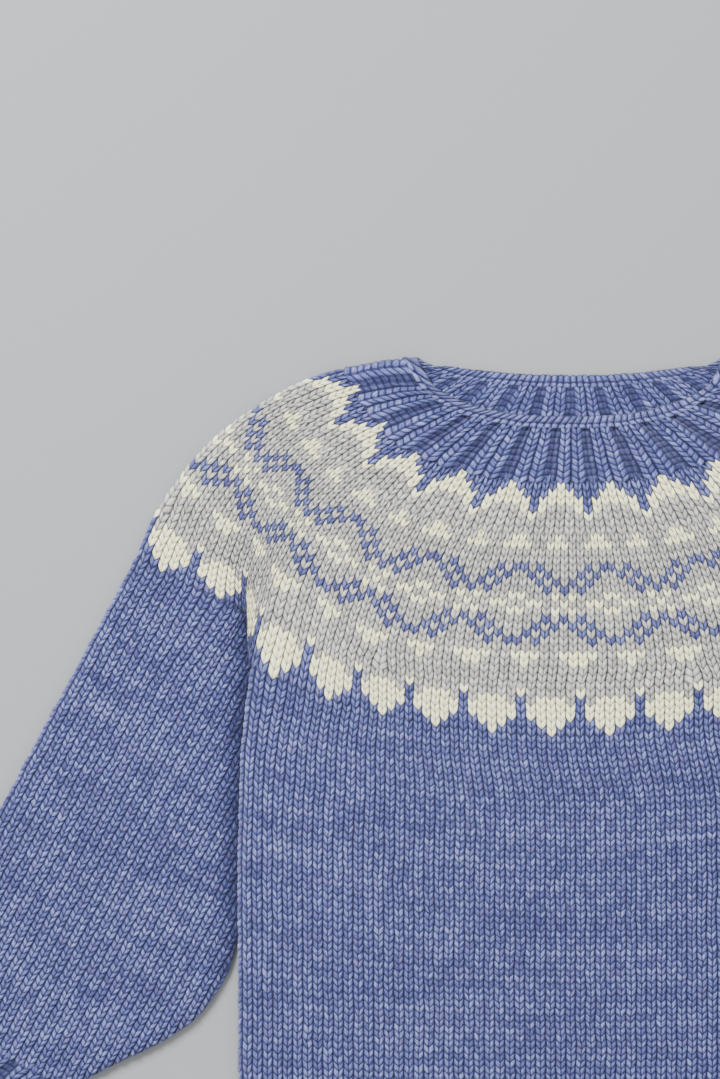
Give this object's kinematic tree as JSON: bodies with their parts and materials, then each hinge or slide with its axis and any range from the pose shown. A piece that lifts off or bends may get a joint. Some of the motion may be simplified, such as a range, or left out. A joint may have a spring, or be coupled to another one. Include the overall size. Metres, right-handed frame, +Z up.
{
  "type": "wool sweater",
  "caption": "Knitted child's sweater laid flat, front up, with a round patterned yoke, ribbed neck, hem and cuffs.",
  "frame": {"origin": "on the surface under the sweater, below the middle of its outline seen from above", "axes": "+X across the chest, +Y from the hem towards the neck, +Z up, out of the front"},
  "size_m": [0.669, 0.4082, 0.0067],
  "materials": {
    "blue_wool": "matt heathered blue wool knitting",
    "yoke_wool": "matt stranded knitting in grey, cream and blue wool"
  },
  "bodies": {
    "root": {"neck_edge": "blue_wool", "neck_rib": "blue_wool", "yoke": "yoke_wool", "body": "blue_wool", "hem_rib": "blue_wool", "sleeve_left": "blue_wool", "sleeve_right": "blue_wool", "cuff_left": "blue_wool", "cuff_right": "blue_wool"}
  },
  "joints": []
}
